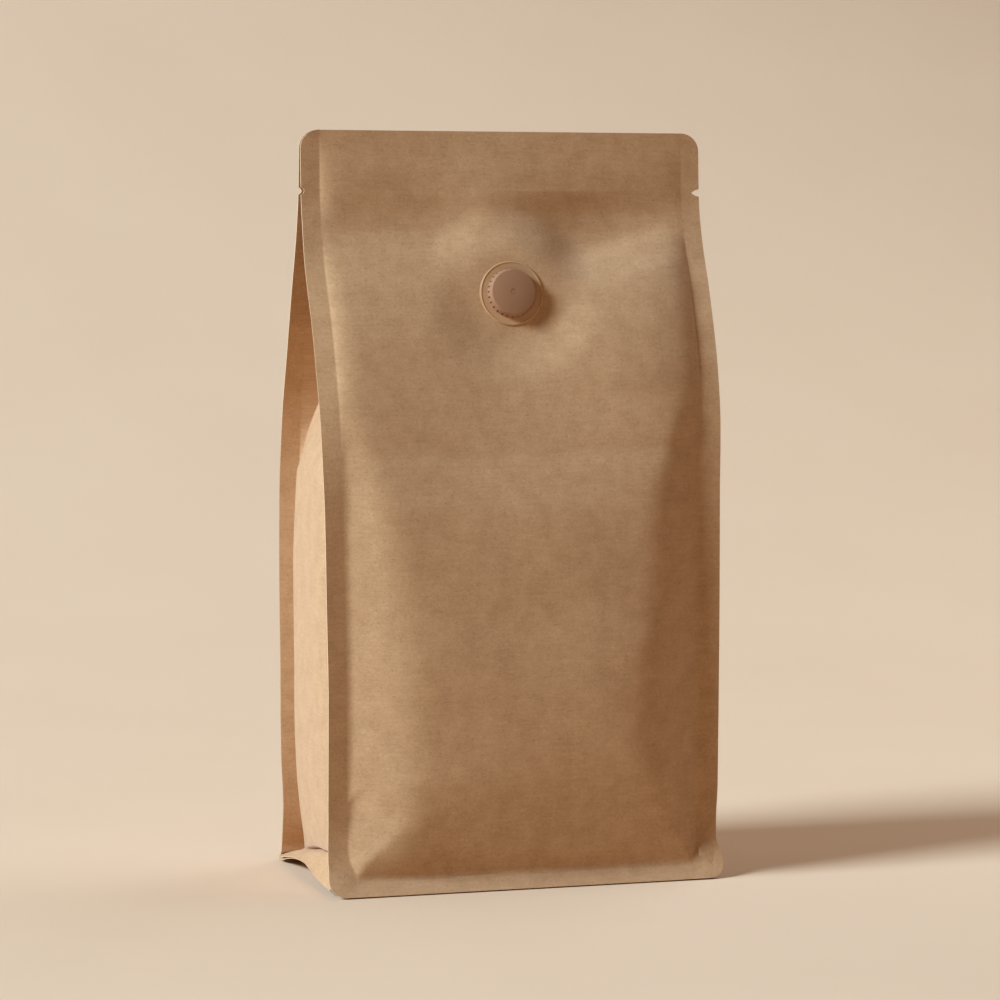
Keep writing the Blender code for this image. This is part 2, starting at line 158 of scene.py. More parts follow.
def bell(value, middle, left, right):
    """A soft bump of height 1 with its own width on each side."""
    offset = value - middle
    return np.exp(-((offset / np.where(offset < 0.0, left, right)) ** 2))


def soft_min(a, b, rounding):
    """The smaller of the two, with the corner between them rounded off."""
    near = np.maximum(rounding - np.abs(a - b), 0.0) / rounding
    return np.minimum(a, b) - near * near * rounding / 4.0


def edge_depth(height):
    """Distance of the side seams' outer face from the middle plane."""
    knots = (
        (4.8, 33.3), (12, 31.0), (20, 29.8), (30, 29.5), (60, 29.4), (90, 28.8), (120, 27.7), (135, 26.3),
        (150, 24.1), (165, 19.8), (180, 14.8), (190, 10.8), (200, 6.8), (210, 3.9), (220, 2.0), (235, 1.15),
        (241, 0.95),
    )
    return profile(knots, height)


def edge_width(height):
    """Distance of a panel's side edges from the middle, before its corners and notches are cut."""
    knots = (
        (4.8, 65.4), (20, 65.5), (30, 65.7), (60, 65.7), (90, 66.0), (120, 66.3), (150, 66.8), (180, 67.1),
        (200, 67.5), (241, 67.5),
    )
    return profile(knots, height)


def cut_width(height, side):
    """The side edge as it is cut, with a rounded top corner and a tear notch."""
    notch_depth = np.where(np.asarray(side) < 0.0, NOTCH_DEPTH_LEFT, NOTCH_DEPTH_RIGHT)
    above_arc = np.clip(height - (HEIGHT - CORNER), 0.0, CORNER)
    rounded = CORNER - np.sqrt(np.maximum(CORNER**2 - above_arc**2, 0.0))
    into_notch = np.clip(1.0 - np.abs(height - NOTCH_HEIGHT) / NOTCH_HALF, 0.0, 1.0)
    return edge_width(height) - rounded - notch_depth * np.sqrt(into_notch)


def edge_inset(side, facing, height):
    """How far a panel's cut edge is drawn in over the foot, which only the back panel's left edge is."""
    knots = ((4.8, 1.5), (6, 1.6), (10, 1.4), (17, 1.05), (25, 0.65), (34, 0.2), (46, 0.0))
    drawn_in = np.where(side * facing < 0.0, profile(knots, height), 0.0)
    return drawn_in * (1.0 if facing > 0.0 else 0.0)


def crease_width(height):
    """Distance of a seam's inner crease from the middle. It turns in towards the foot's rounded corner."""
    above_fold = (height - FOLD_HEIGHT) / CREASE_TURN_HEIGHT
    return edge_width(height) - SEAL - CREASE_TURN * (1.0 - ease(above_fold))


def corner_lift(x, facing):
    """How much higher a panel's bottom fold runs out beside a corner, where it meets the side's fold."""
    front_left = FRONT_LEFT_LIFT * ease((-x - FRONT_LEFT_START) / LIFT_BAND)
    back_left = BACK_LEFT_LIFT * ease((-x - BACK_LEFT_START) / LIFT_BAND)
    right_lift = FRONT_RIGHT_LIFT if facing < 0.0 else BACK_RIGHT_LIFT
    right = right_lift * np.clip((x - RIGHT_START) / LIFT_BAND, 0.0, 1.0)
    return np.where(x < 0.0, front_left if facing < 0.0 else back_left, right)


def skirt_line(share, lift):
    """Depth, height and half width of a skirt under a lifted fold: share 0 at the fold, 1 at the lip."""
    fold_height = FOLD_HEIGHT + lift
    fold_depth = edge_depth(fold_height)
    reach = FOLD_DEPTH + SKIRT_REACH - fold_depth
    from_lip = np.clip((1.0 - share) * np.hypot(fold_height - LIP, reach) / SKIRT_CORNER, 0.0, 1.0)
    inset = SKIRT_CORNER * (1.0 - np.sqrt(1.0 - (1.0 - from_lip) ** 2))
    depth = fold_depth + reach * share
    height = LIP + (fold_height - LIP) * (1.0 - share)
    return depth, height, edge_width(FOLD_HEIGHT) - inset


def skirt_spread(x, share):
    """How much wider the skirt spreads beside the corners."""
    near_corner = ease((np.abs(x) - SPREAD_START) / SPREAD_BAND)
    outwards = math.sin(min(share / SPREAD_SHARE, 1.0) * math.pi / 2)
    return np.where(x < 0.0, SPREAD_LEFT, SPREAD_RIGHT) * near_corner * outwards


def neck_turn(x, height):
    """The neck is turned a little, so that its right side stands farther forward than its left."""
    forward = profile(((125, 0.0), (150, 1.2), (170, 2.3), (190, 2.0), (205, 0.7), (214, 0.0)), height)
    return forward * ease((x + NECK_HALF) / (2.0 * NECK_HALF))


def seam_lean(side, facing, height):
    """How far a side seam's cut edge leans out from the plane of its crease."""
    front_left = (
        (5, 0.0), (18, 0.3), (40, 0.6), (120, 0.55), (138, -0.1), (152, -0.6), (168, -1.0), (185, -0.9),
        (200, -0.4), (212, 0.1), (241, 0.1),
    )
    back_left = (
        (5, 0.2), (30, 0.5), (60, 1.1), (100, 1.5), (125, 1.3), (145, 0.4), (165, -0.2), (190, -0.4),
        (205, -0.2), (225, 0.0),
    )
    right = ((5, 0.1), (40, 0.45), (70, 0.45), (130, 0.2), (175, 0.3), (205, 0.05), (225, 0.0))
    left_lean = np.where(facing < 0.0, profile(front_left, height), profile(back_left, height))
    return np.where(side > 0.0, profile(right, height), left_lean)


def rise(inside, start, width):
    """How far a face has risen, when its slope eases from 0 to 1 over a width from a start."""
    t = np.clip((inside - start) / width, 0.0, 1.0)
    return width * (t**3 - t**4 / 2.0) + np.maximum(inside - start - width, 0.0)


def flank_rise(inside, right, height):
    """How far a flank has risen from its seam: steep at first, then level, then gently on to the middle."""
    left_slope = ((5, 0.46), (60, 0.45), (90, 0.455), (110, 0.45), (130, 0.38), (145, 0.22), (158, 0.0))
    right_slope = ((5, 0.46), (60, 0.44), (105, 0.43), (130, 0.41), (145, 0.31), (158, 0.14), (172, 0.0))
    steep_left = profile(left_slope, height)
    steep = steep_left + (profile(right_slope, height) - steep_left) * right
    levels_left = (
        (5, 18.5), (60, 18.5), (75, 17.5), (90, 15.0), (120, 13.5), (130, 11.5), (140, 8.5), (158, 5.0),
    )
    later_right = ((5, 1.5), (90, 1.8), (120, 3.2), (135, 4.2), (150, 3.8), (170, 2.0))
    levels_at = profile(levels_left, height) + right * profile(later_right, height)
    levelling = profile(((5, 18), (75, 20), (120, 15), (140, 9), (158, 6)), height)
    crease = profile(((5, 0.9), (25, 1.3), (45, 2.6), (100, 2.8), (160, 3.4)), height)
    flank = steep * (rise(inside, 0.0, crease) - rise(inside, levels_at - levelling / 2.0, levelling))
    gentle = profile(((5, 0.04), (90, 0.035), (130, 0.0)), height) * (1.0 + right)
    return flank + gentle * (rise(inside, 0.0, 4.0) - rise(inside, 20.0, 30.0))


def box_bulge(x, height):
    """The filled lower part: flanks that rise from the side seams and level off, and a tucked-under foot."""
    inside = np.maximum(crease_width(height) - np.abs(x), 0.0)
    right = ease((x + FLANK_HALF) / (2.0 * FLANK_HALF))
    foot_knots = (
        (4.8, 0.0), (6, 0.3), (8, 1.75), (10, 3.1), (12, 4.25), (15, 5.5), (20, 7.2), (28, 8.9), (35, 10.2),
        (45, 12), (60, 18),
    )
    # A low ridge stands along the left seam at the foot, and dies out above it and to the right.
    ridge = 0.15 * bell(inside, 17.0, 9.0, 9.0) * (1.0 - ease((height - 20.0) / 12.0)) * (1.0 - right)
    fullness = FOOT_LEAST + (1.0 - FOOT_LEAST) * (1.0 - np.exp(-inside / FOOT_REACH)) + ridge
    foot = profile(foot_knots, height) * fullness
    rounding = 0.2 + 0.035 * inside
    bulge = soft_min(flank_rise(inside, right, height), foot, rounding)
    return np.where(inside > 0.0, bulge, 0.0)


def neck_plateau(x, height):
    """The neck above the beans: it stands proud of the seams, past a steep band, up to the top seal."""
    inside = np.maximum(crease_width(height) - np.abs(x), 0.0)
    fold_knots = ((209, 0.0), (215, 0.65), (221, 1.3), (227, 1.25), (234, 0.6), (241, 0.0))
    left_knots = (
        (138, 0.0), (150, 1.3), (165, 2.3), (190, 2.4), (200, 1.6), (206, 0.6), (210, 0.1), (213, 0.0),
    )
    right_knots = (
        (140, 0.0), (155, 2.8), (170, 4.9), (184, 5.3), (198, 4.7), (205, 2.4), (212, 0.05), (241, 0.0),
    )
    # Towards the left, the right side's form starts lower down the neck.
    falling = 13.0 * np.clip((54.0 - x) / 46.0, 0.0, 1.0) * ease((height - 150.0) / 30.0)
    fold = profile(fold_knots, height)
    share = ease((x + 12.0) / 64.0)
    left = profile(left_knots, height) + fold
    right = profile(right_knots, height + falling) + 0.7 * fold
    steep_band = 2.8 + 4.0 * share
    return (left * (1.0 - share) + right * share) * (1.0 - np.exp(-inside / steep_band))


def corner_pinch(x, height):
    """The slanting crease that climbs inwards near the front left corner, and the dent below it."""
    across, up = x - PINCH_X, height - PINCH_HEIGHT
    below = (across - up) / DIAGONAL
    from_seam = (across + up) / DIAGONAL
    drop = ease(below / 1.5) * (1.0 - ease((below - 3.0) / 9.0)) * (1.0 - ease((from_seam - 2.0) / 9.0))
    from_dent = (x - DENT_X) ** 2 + (height - DENT_HEIGHT) ** 2
    return PINCH_DROP * drop + DENT * np.exp(-from_dent / (2.0 * DENT_RADIUS**2))


def front_waves(x, height):
    """The soft folds that the gathered neck sends down the front, round the valve."""
    valley_at = (
        (125, -4), (150, -6), (170, -6), (180, 2), (190, 12), (200, 17), (206, 16), (216, 18),
    )
    valley_depth = (
        (122, 0.0), (140, 1.1), (152, 1.9), (165, 2.0), (178, 1.0), (190, 0.8), (205, 1.6), (214, 1.3),
        (222, 0.0),
    )
    ridge_height = (
        (184, 0.0), (194, 1.0), (202, 2.0), (209, 2.5), (216, 2.2), (224, 1.2), (232, 0.5), (241, 0.0),
    )
    ridge_right = profile(((200, 12.0), (214, 26.0), (241, 30.0)), height)
    valley = profile(valley_depth, height) * bell(x, profile(valley_at, height), 26.0, 34.0)
    return profile(ridge_height, height) * bell(x, -4.0, 14.0, ridge_right) - valley


def panel_ripples(x, height, phase):
    """Low, slow unevenness of a filled paper face, which dies out below the top seal."""
    ripples = (
        np.sin(x / 7.3 + height / 17.0 + phase)
        + np.sin(x / 11.9 - height / 9.1 + 2.0 * phase)
        + np.sin(x / 4.9 + height / 6.7 + 3.0 * phase) * 0.5
    )
    return RIPPLE * ripples * ease((RIPPLE_TOP - height) / RIPPLE_FADE)


def valve_seat():
    """The middle of the panel's flat spot for the valve, and the panel's outward direction there."""
    low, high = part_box("valve_flange")
    outward = Vector((-VALVE_TURN, -1.0, VALVE_LEAN)).normalized()
    return ((low + high) / 2 - outward * SEAT_DEPTH * MM) / MM, outward


def front_depth(x, height):
    """Distance of the front face from the middle plane."""
    inside = np.maximum(crease_width(height) - np.abs(x), 0.0)
    depth = edge_depth(height) + box_bulge(x, height) + neck_turn(x, height) + neck_plateau(x, height)
    depth = depth - corner_pinch(x, height) * ease(inside / PINCH_MARGIN)
    waves = front_waves(x, height) + panel_ripples(x, height, 0.4)
    depth = depth + ease(inside / WAVE_MARGIN) * waves
    seat, outward = valve_seat()
    across, up = x - seat.x, height - seat.z
    turn, lean = outward.x / outward.y, outward.z / outward.y
    radius = np.hypot(across, up * math.hypot(1.0, lean))
    depth = depth + SEAT_SWELL * np.exp(-((radius / SWELL_RADIUS) ** 2))
    flat = -seat.y + turn * across + lean * up
    return flat + (depth - flat) * ease((radius - SEAT_RADIUS) / SEAT_BLEND)


def panel_columns():
    """Positions across a panel: 0 is the middle, 1 a seam's crease and 2 the side edge."""
    middle = np.linspace(0.0, 0.94, 62)
    near_crease = np.array([0.955, 0.969, 0.98, 0.988, 0.995, 1.0])
    seam = np.array([1.05, 1.15, 1.3, 1.5, 1.7, 1.88, 2.0])
    half = np.concatenate([middle, near_crease, seam])
    return np.concatenate([-half[:0:-1], half])


def web_rows():
    """Positions up a web: below 0 is the share of its skirt, the rest are heights."""
    skirt = -np.sin(np.radians(np.arange(90.0, 0.0, -9.0)))
    foot = FOLD_HEIGHT + np.arange(0.0, 15.2, 0.7)
    body = np.arange(20.5, 219.9, 1.12)
    notch = NOTCH_HEIGHT + NOTCH_HALF * np.array([-1.0, -0.75, -0.4, -0.15, 0.0, 0.15, 0.4, 0.75, 1.0])
    above_notch = np.arange(223.5, HEIGHT - CORNER, 1.15)
    corner = HEIGHT - CORNER + CORNER * np.sin(np.radians(np.arange(0.0, 91.0, 9.0)))
    return np.concatenate([skirt, foot, body, notch, above_notch, corner])


def column_places(columns, crease, tip):
    """Distances from the middle of a row's points, by the places of its creases and of its cut edges."""
    crease = np.minimum(crease, tip - LEAST_MARGIN)
    beyond = np.clip(np.abs(columns) - 1.0, 0.0, 1.0)
    return np.sign(columns) * (np.minimum(np.abs(columns), 1.0) * crease + beyond * (tip - crease))


def face_panel(columns, rows, depth_of, facing):
    """Points of a face panel and its place on the flat web, for facing -1 at the front and 1 at the back."""
    points = []
    side = -facing * columns
    edge_lift = corner_lift(np.sign(side) * edge_width(FOLD_HEIGHT), facing)
    for row in rows:
        share, height = max(-row, 0.0), max(row, FOLD_HEIGHT)
        tip = skirt_line(share, edge_lift)[2] if row < 0.0 else cut_width(height, side)
        tip = tip - edge_inset(side, facing, height)
        x = -facing * column_places(columns, crease_width(height), tip)
        lift = corner_lift(x, facing)
        if row < 0.0:
            depth, z, _ = skirt_line(share, lift)
            x = x + np.sign(x) * skirt_spread(x, share)
        else:
            z = height + lift * (1.0 - ease((height - FOLD_HEIGHT) / LIFT_FADE))
            lean = seam_lean(x, facing, height) * np.clip(np.abs(columns) - 1.0, 0.0, 1.0)
            depth = depth_of(x, height) + edge_depth(z) - edge_depth(height) + lean
        along = row if row > 0.0 else FOLD_HEIGHT + SKIRT_PAPER * row
        points.append(np.stack([x, facing * depth, z, -facing * x, np.full(len(x), along)], 1))
    return np.array(points)


def sway(height):
    """How far the pouch leans to the left (below 0) or the right of a true upright at each height."""
    knots = (
        (0, -0.8), (12, -0.6), (20, -0.3), (30, -0.1), (60, -0.1), (100, -0.3), (125, -0.35), (150, -0.15),
        (170, -0.1), (190, -0.2), (215, -0.2), (241, -0.3),
    )
    return profile(knots, height)


def finish_web(web, materials):
    """Gives a web its thickness, inwards, and its cut edges their own material."""
    for material in materials:
        web.data.materials.append(material)
    thickness = web.modifiers.new("laminate", "SOLIDIFY")
    thickness.thickness = WEB * MM
    thickness.offset = -1.0
    thickness.use_even_offset = False
    thickness.material_offset_rim = 1
    bpy.ops.object.modifier_apply(modifier=thickness.name)
    bpy.ops.object.shade_smooth_by_angle(angle=math.radians(WEB_SMOOTH_ANGLE))


def lay_web(name, points, materials):
    """Draws a grid out to a web's points, and keeps each point's place on the flat web as its UV."""
    bpy.ops.object.select_all(action="DESELECT")
    rows, columns = points.shape[:2]
    bpy.ops.mesh.primitive_grid_add(x_subdivisions=columns - 1, y_subdivisions=rows - 1, size=2.0)
    web = bpy.context.object
    web.name = web.data.name = name
    flat = np.empty(len(web.data.vertices) * 3)
    web.data.vertices.foreach_get("co", flat)
    flat = flat.reshape(-1, 3)
    column = np.rint((flat[:, 0] + 1.0) / 2.0 * (columns - 1)).astype(int)
    row = np.rint((flat[:, 1] + 1.0) / 2.0 * (rows - 1)).astype(int)
    placed = points[row, column]
    placed[:, 0] += sway(placed[:, 2])
    web.data.vertices.foreach_set("co", (placed[:, :3] * MM).ravel())
    corners = np.empty(len(web.data.loops), int)
    web.data.loops.foreach_get("vertex_index", corners)
    paper = web.data.uv_layers[0]
    paper.name = "paper"
    paper.uv.foreach_set("vector", (placed[corners, 3:] / PAPER_UNIT).ravel())
    web.data.update()
    finish_web(web, materials)
    return web


def add_node(tree, kind, inputs=None, **settings):
    """One shader node with its settings and its unlinked inputs."""
    node = tree.nodes.new(kind)
    for key, value in settings.items():
        setattr(node, key, value)
    for key, value in (inputs or {}).items():
        node.inputs[key].default_value = value
    return node


def web_noise(tree, place, scale, detail, roughness):
    """Noise on the flat web, with its own scale along and across."""
    grains = {"Scale": 1.0, "Detail": detail, "Roughness": roughness}
    squeeze = add_node(tree, "ShaderNodeMapping", {"Scale": (*scale, 1.0)})
    noise = add_node(tree, "ShaderNodeTexNoise", grains, noise_dimensions="2D")
    tree.links.new(place, squeeze.inputs["Vector"])
    tree.links.new(squeeze.outputs["Vector"], noise.inputs["Vector"])
    return noise.outputs["Fac"]


def streaks(tree, paper, angle, size, threshold, seed):
    """A mask of short thin fibres that lie at one angle on the web."""
    turned = {"Rotation": (0.0, 0.0, math.radians(angle)), "Location": (seed, seed, 0.0)}
    turn = add_node(tree, "ShaderNodeMapping", turned)
    tree.links.new(paper, turn.inputs["Vector"])
    scale = (PAPER_UNIT / size[0], PAPER_UNIT / size[1])
    noise = web_noise(tree, turn.outputs["Vector"], scale, 1.0, 0.4)
    ramp = add_node(tree, "ShaderNodeMapRange", {"From Min": threshold, "From Max": threshold + 0.06})
    tree.links.new(noise, ramp.inputs["Value"])
    return ramp.outputs["Result"]


def combined(tree, a, b, share):
    """Two masks mixed, with the second one's share."""
    mix = add_node(tree, "ShaderNodeMix", {"Factor": share})
    tree.links.new(a, mix.inputs["A"])
    tree.links.new(b, mix.inputs["B"])
    return mix.outputs["Result"]


def tinted(tree, colour, other, mask, share):
    """A colour with a share of another where the mask is on."""
    scaled = add_node(tree, "ShaderNodeMath", {1: share}, operation="MULTIPLY")
    mix = add_node(tree, "ShaderNodeMix", {"B": (*other, 1.0)}, data_type="RGBA")
    tree.links.new(mask, scaled.inputs[0])
    tree.links.new(scaled.outputs["Value"], mix.inputs["Factor"])
    tree.links.new(colour, mix.inputs["A"])
    return mix.outputs["Result"]


def kraft_paper():
    """Unbleached kraft: cloudy brown fibre with fine dark and pale flecks, dry to the touch."""
    material = bpy.data.materials.new("kraft_paper")
    material.use_nodes = True
    tree = material.node_tree
    shader = tree.nodes["Principled BSDF"]
    shader.inputs["Roughness"].default_value = 0.78
    shader.inputs["Specular IOR Level"].default_value = 0.28
    shader.inputs["Sheen Weight"].default_value = 0.25
    shader.inputs["Sheen Roughness"].default_value = 0.6
    paper = add_node(tree, "ShaderNodeUVMap", uv_map="paper").outputs["UV"]

    cloud = web_noise(tree, paper, (16.0, 14.0), 4.0, 0.55)
    grain = web_noise(tree, paper, (130.0, 130.0), 4.0, 0.65)
    wire_lines = web_noise(tree, paper, (14.0, 110.0), 3.0, 0.6)
    body = combined(tree, combined(tree, grain, wire_lines, 0.45), cloud, 0.42)
    ramp = add_node(tree, "ShaderNodeValToRGB")
    ramp.color_ramp.elements[0].position = 0.28
    ramp.color_ramp.elements[0].color = (*KRAFT_DARK, 1.0)
    ramp.color_ramp.elements[1].position = 0.72
    ramp.color_ramp.elements[1].color = (*KRAFT_PALE, 1.0)
    tree.links.new(body, ramp.inputs["Fac"])
    colour = ramp.outputs["Color"]
    for angle, seed in ((8.0, 0.0), (63.0, 3.1), (-38.0, 7.7)):
        flecks = streaks(tree, paper, angle, (1.9, 0.42), 0.69, seed)
        colour = tinted(tree, colour, FLECK_DARK, flecks, 0.20)
    for angle, seed in ((-12.0, 11.3), (48.0, 17.9)):
        flecks = streaks(tree, paper, angle, (1.7, 0.40), 0.70, seed)
        colour = tinted(tree, colour, FLECK_PALE, flecks, 0.22)
    tree.links.new(colour, shader.inputs["Base Color"])

    bump = add_node(tree, "ShaderNodeBump", {"Strength": 0.35, "Distance": 0.00012})
    tree.links.new(combined(tree, grain, wire_lines, 0.5), bump.inputs["Height"])
    tree.links.new(bump.outputs["Normal"], shader.inputs["Normal"])
    return material


def clouded(name, scale, detail, dark, pale):
    """A plain material whose colour drifts between two shades, with its shader and the noise behind it."""
    material = bpy.data.materials.new(name)
    material.use_nodes = True
    tree = material.node_tree
    shader = tree.nodes["Principled BSDF"]
    place = add_node(tree, "ShaderNodeTexCoord").outputs["Object"]
    noise = add_node(tree, "ShaderNodeTexNoise", {"Scale": scale, "Detail": detail}).outputs["Fac"]
    ramp = add_node(tree, "ShaderNodeValToRGB")
    ramp.color_ramp.elements[0].color = (*dark, 1.0)
    ramp.color_ramp.elements[1].color = (*pale, 1.0)
    tree.links.new(place, noise.node.inputs["Vector"])
    tree.links.new(noise, ramp.inputs["Fac"])
    tree.links.new(ramp.outputs["Color"], shader.inputs["Base Color"])
    return material, shader, noise


def cut_laminate():
    """The web's cut edge, where the pale inner film shows against the kraft."""
    material, shader, _ = clouded("cut_laminate_edge", 900.0, 2.0, FILM_DARK, FILM_PALE)
    shader.inputs["Roughness"].default_value = 0.6
    return material


kraft = [kraft_paper(), cut_laminate()]
front = lay_web("front_panel", face_panel(panel_columns(), web_rows(), front_depth, -1.0), kraft)
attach(front, "root")
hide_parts("pouch")

# ----------------------------------------------------------------------------------------------------------
# Back panel: the same cut of kraft laminate, sealed to the back edges of the gussets and of the bottom web.
# It is as full as the front, has no valve, and its neck gathers into folds of its own.
# ----------------------------------------------------------------------------------------------------------


def back_depth(x, height):
    """Distance of the back face from the middle plane, with its own folds at the neck."""
    inside = np.maximum(crease_width(height) - np.abs(x), 0.0)
    fold_at = profile(((125, 14), (160, 8), (190, -6), (216, -20)), height)
    fold = profile(((124, 0.0), (155, 0.9), (180, 1.8), (205, 1.7), (220, 0.0)), height)
    waves = panel_ripples(x, height, 2.1) - fold * bell(x, fold_at, 22.0, 12.0)
    face = edge_depth(height) + box_bulge(x, height) + neck_plateau(-x, height)
    return face + ease(inside / WAVE_MARGIN) * waves


back = lay_web("back_panel", face_panel(panel_columns(), web_rows(), back_depth, 1.0), kraft)
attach(back, "root")
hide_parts("pouch")

# ----------------------------------------------------------------------------------------------------------
# Side gussets: a web of the same laminate on each side, sealed to both panels along its margins. Below, the
# beans push it out; above, it is pleated inwards along its middle into the neck and the top seal. Its foot
# is sealed to the bottom web and curls up off the table, most of all on the left.
# ----------------------------------------------------------------------------------------------------------

SIDE_FOLD = 59.8  # distance of a gusset's bottom fold from the middle
SIDE_REACH = 5.5  # how far its skirt flares from there
SIDE_LIFT_FADE = 30.0  # height over which the gusset above takes up the lift of its fold
SIDE_SKIRT_PAPER = 6.5  # length of its skirt on the flat web
GUSSET_HALF = 31.0  # half width of the flat web between its creases
GUSSET_PAPER = 400.0  # its place on the flat web, past the panels', so that its grain is its own
NECK_START = 150.0  # height over which the pleats have to fit between the panels
SLANTED_PLIES = 1.35  # depth that webs take where the skirt is slanted, in thicknesses
MARGIN_INSET = 0.3  # how far the gusset's margin ends inside the panel's skirt
FRONT_STEP = 0.62  # share of the pleat's step that is left at the front
TUCK_START = -0.7  # where the tuck at the foot sets in, from -1 at the front to 1 at the back


def side_fold_height(back, left):
    """Height of a side's bottom fold, for back from -1 at the front corner to 1 at the back corner."""
    if left:
        knots = (
            (-1, 9.6), (-0.8, 10.4), (-0.5, 10.5), (-0.2, 9.6), (0.0, 9.1), (0.2, 8.2), (0.43, 6.8),
            (0.6, 5.8), (0.75, 5.0), (1.0, 3.0),
        )
    else:
        knots = ((-1, 7.4), (-0.4, 7.8), (0.3, 7.4), (1.0, 6.4))
    return profile(knots, back)


def side_lip_height(back, left):
    """Height of the lip of a side's skirt."""
    if left:
        knots = (
            (-1, 2.2), (-0.76, 2.5), (-0.5, 3.1), (-0.3, 4.0), (-0.17, 4.8), (-0.03, 5.4), (0.13, 5.3),
            (0.38, 4.6), (0.58, 3.5), (0.83, 2.0), (1.0, 1.0),
        )
    else:
        knots = ((-1, 1.6), (-0.3, 2.2), (0.3, 2.6), (1.0, 0.9))
    return profile(knots, back)


def behind_face(height, side, facing):
    """Depth and half width of a panel's margin at a height, less the two webs that lie behind it."""
    plies = 2 * WEB + PLY_GAP
    lift = float(corner_lift(side * edge_width(FOLD_HEIGHT), facing))
    fold_height = FOLD_HEIGHT + lift
    if height >= fold_height:
        turned = float(neck_turn(side * NECK_HALF, height)) if facing < 0.0 else 0.0
        tip = float(cut_width(height, side) - edge_inset(side, facing, height))
        return edge_depth(height) + turned - plies, tip
    share = (fold_height - height) / (fold_height - LIP)
    depth, _, tip = skirt_line(min(share, 1.0), lift)
    tip = tip - float(edge_inset(side, facing, FOLD_HEIGHT))
    return depth - SLANTED_PLIES * plies, tip + float(skirt_spread(side * tip, share)) - MARGIN_INSET


def pleat_depth(back, height):
    """How far a gusset is pleated in: a step beside the panels, and the full pleat between."""
    pleat_knots = (
        (131, 0.0), (142, 3.2), (152, 8.0), (161, 14.5), (167, 18.5), (173, 22.5), (180, 26.0), (190, 28.5),
        (200, 29.8), (212, 30.4), (241, 30.6),
    )
    step_knots = (
        (131, 0.0), (141, 2.0), (150, 4.6), (160, 8.5), (170, 15.0), (180, 21.0), (190, 24.0), (200, 28.0),
        (212, 30.0),
    )
    from_crease = 1.0 - np.abs(back)
    spread = profile(((131, 0.03), (140, 0.24), (150, 0.5), (160, 0.8), (168, 1.0)), height)
    rounding = profile(((140, 0.6), (170, 0.12), (200, 0.03)), height)
    wall = soft_min(from_crease / spread, np.ones_like(back), rounding)
    pleat = profile(pleat_knots, height)
    kept = FRONT_STEP + (1.0 - FRONT_STEP) * ease(back + 0.5)
    step = np.minimum(profile(step_knots, height), pleat) * ease(from_crease / 0.03) * kept
    return step + np.maximum(pleat - step, 0.0) * wall


def gusset_out(back, height):
    """Distance of a gusset's outer surface from the middle, between its two creases."""
    swell_knots = (
        (4.8, 0.0), (5.4, 1.5), (6.2, 2.2), (9, 3.0), (15, 3.7), (30, 4.6), (60, 5.5), (100, 5.5),
        (120, 4.6), (140, 2.8), (160, 0.0),
    )
    swell = profile(swell_knots, height) * (1.0 - np.abs(back) ** 4.0)
    tuck = profile(((4.8, 3.2), (9, 2.8), (20, 1.1), (32, 0.3), (45, 0.0)), height)
    tuck = tuck * ease((back - TUCK_START) / (1.0 - TUCK_START))
    return edge_width(height) - SEAL + swell - pleat_depth(back, height) - tuck


def gusset_web(columns, rows, side):
    """Points of a gusset and its place on the flat web, for side -1 at the left and 1 at the right."""
    left = side < 0.0
    back = np.clip(side * columns, -1.0, 1.0)
    facing_each = np.sign(back)
    fold = side_fold_height(back, left)
    beyond = np.clip(np.abs(columns) - 1.0, 0.0, 1.0)
    near_crease = ease((np.abs(back) - 0.8) / 0.2)
    across = np.sign(columns) * (np.minimum(np.abs(columns), 1.0) * GUSSET_HALF + beyond * SEAL)
    points = []
    for row in rows:
        share, height = max(-row, 0.0), max(row, FOLD_HEIGHT)
        if row < 0.0:
            z = fold * (1.0 - share) + side_lip_height(back, left) * share
            out = np.full(len(back), SIDE_FOLD + SIDE_REACH * share)
            start = out
        else:
            z = height + (1.0 - ease((height - FOLD_HEIGHT) / SIDE_LIFT_FADE)) * (fold - FOLD_HEIGHT)
            out = gusset_out(back, height)
            start = gusset_out(facing_each, height)
        front_corner, back_corner = (float(z[np.argmin(facing * -back)]) for facing in (-1.0, 1.0))
        depth_in_front, front_tip = behind_face(front_corner, side, -1.0)
        depth_behind, back_tip = behind_face(back_corner, side, 1.0)
        tip = np.where(back < 0.0, front_tip, back_tip)
        start = np.minimum(start, tip - LEAST_MARGIN)
        out = np.minimum(out, out + near_crease * (tip - LEAST_MARGIN - out))
        out = np.where(beyond > 0.0, start + beyond * (tip - start), out)
        depth = back * ((1.0 - back) * depth_in_front + (1.0 + back) * depth_behind) / 2.0
        if height > NECK_START:
            face = np.where(back < 0.0, front_depth(side * out, height), back_depth(side * out, height))
            room = np.maximum(face - 2 * WEB - PLY_GAP, PLY_GAP)
            depth = np.where(beyond > 0.0, depth, facing_each * np.minimum(np.abs(depth), room))
        if row >= 0.0:
            sides = np.full(len(back), side)
            depth = depth + facing_each * seam_lean(sides, facing_each, height) * beyond
        along = GUSSET_PAPER + (row if row > 0.0 else FOLD_HEIGHT + SIDE_SKIRT_PAPER * row)
        points.append(np.stack([side * out, depth, z, across, np.full(len(out), along)], 1))
    return np.array(points)


def gusset_columns():
    """Positions across a gusset: 0 is its middle pleat, 1 a crease and 2 the edge of its margin."""
    middle = np.linspace(0.0, 0.9, 40)
    near_crease = np.array([0.92, 0.938, 0.95, 0.96, 0.97, 0.98, 0.99, 1.0])
    margin = np.array([1.02, 1.15, 1.3, 1.5, 1.7, 1.88, 2.0])
    half = np.concatenate([middle, near_crease, margin])
    return np.concatenate([-half[:0:-1], half])


